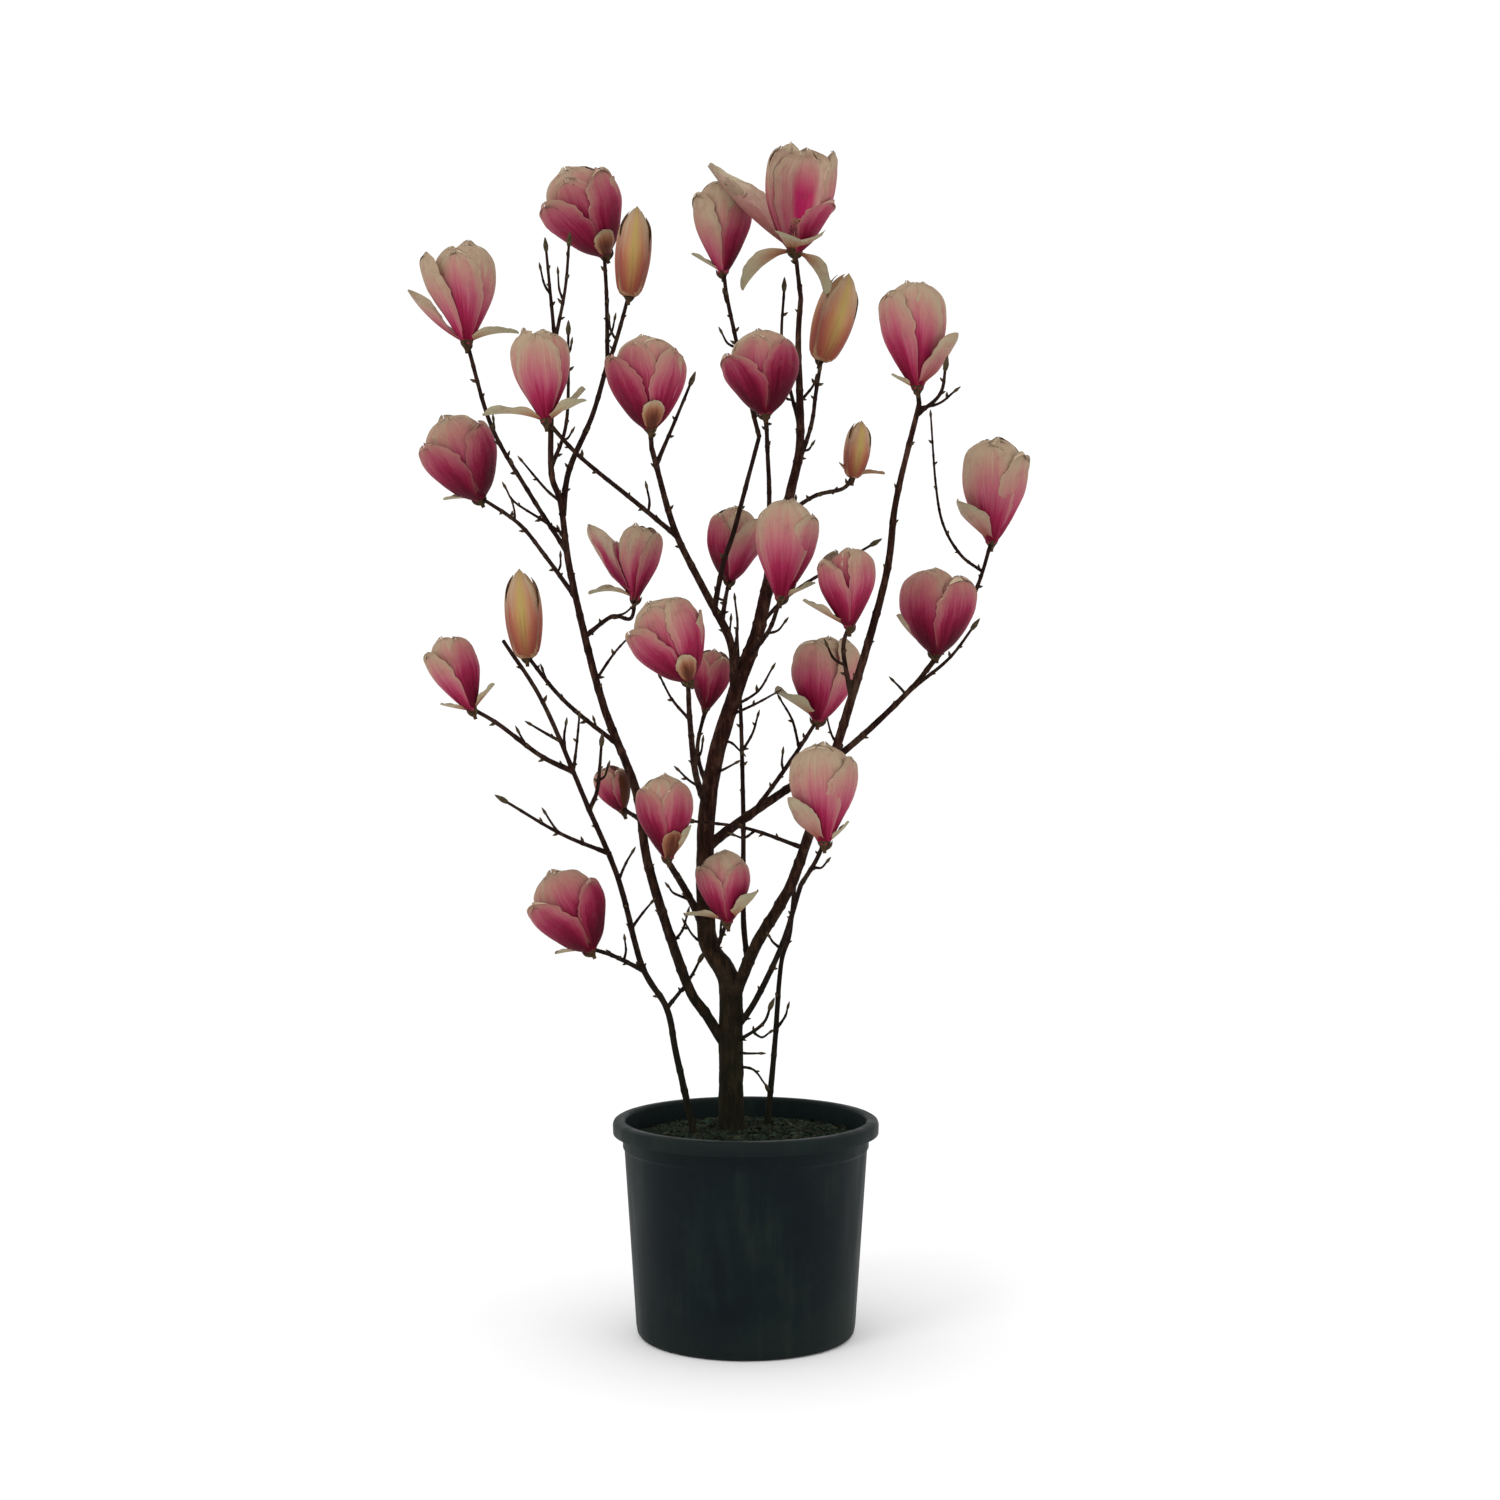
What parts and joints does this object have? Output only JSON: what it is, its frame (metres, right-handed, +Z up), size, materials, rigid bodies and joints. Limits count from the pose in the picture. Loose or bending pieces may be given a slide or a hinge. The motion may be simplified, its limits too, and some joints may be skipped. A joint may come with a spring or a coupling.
{
  "type": "potted saucer magnolia",
  "caption": "Young bare-twigged saucer magnolia in blossom, with goblet-shaped pink and cream blooms and pointed buds, standing in a round black nursery pot of soil.",
  "frame": {"origin": "centre of the pot's flat underside, on the surface it stands on", "axes": "+Z up along the tree; -Y towards the viewer of the broad side; +X to that viewer's right"},
  "size_m": [0.7771, 0.4944, 1.4465],
  "materials": {
    "pot": "satin moulded black plastic",
    "soil": "rough moist peat and bark mix",
    "bark": "dull dark brown bark",
    "twig_bark": "dull dark twig bark",
    "blossom": "soft satin petals, pink to cream"
  },
  "bodies": {
    "root": {"pot": "pot", "potting_soil": "soil", "trunk": "bark", "leader": "bark", "bough_fork_left": "bark", "bough_right_long": "bark", "bough_left_long": "bark", "bough_right_spreading": "bark", "bough_right_low": "bark", "bough_left_short": "bark", "bough_inner_left": "bark", "bough_centre_upright": "bark", "bough_top_left": "bark", "bough_high_centre": "bark", "bough_upright_back": "bark", "basal_stem_left": "bark", "basal_stem_right": "bark", "flowering_shoot_01": "blossom", "flowering_shoot_02": "blossom", "flowering_shoot_03": "blossom", "flowering_shoot_04": "blossom", "flowering_shoot_05": "blossom", "flowering_shoot_06": "blossom", "flowering_shoot_07": "blossom", "flowering_shoot_08": "blossom", "flowering_shoot_09": "blossom", "flowering_shoot_10": "blossom", "flowering_shoot_11": "blossom", "flowering_shoot_12": "blossom", "flowering_shoot_13": "blossom", "flowering_shoot_14": "blossom", "flowering_shoot_15": "blossom", "flowering_shoot_16": "blossom", "flowering_shoot_17": "blossom", "flowering_shoot_18": "blossom", "flowering_shoot_19": "blossom", "flowering_shoot_20": "blossom", "flowering_shoot_21": "blossom", "flowering_shoot_22": "blossom", "flowering_shoot_23": "blossom", "flowering_shoot_24": "blossom", "flowering_shoot_25": "blossom", "flowering_shoot_26": "blossom", "flowering_shoot_27": "blossom", "flowering_shoot_28": "blossom", "bare_shoot_top_left": "twig_bark", "bare_shoot_top_left_inner": "twig_bark", "bare_shoot_upper_left": "twig_bark", "bare_shoot_upper_centre": "twig_bark", "bare_shoot_top_centre": "twig_bark", "bare_shoot_upper_right": "twig_bark", "bare_shoot_centre_right": "twig_bark", "bare_shoot_far_right": "twig_bark", "bare_shoot_middle_left": "twig_bark", "bare_shoot_low_left": "twig_bark", "bare_shoot_across_centre": "twig_bark", "bare_shoot_low_centre": "twig_bark", "bare_shoot_low_right": "twig_bark"}
  },
  "joints": []
}
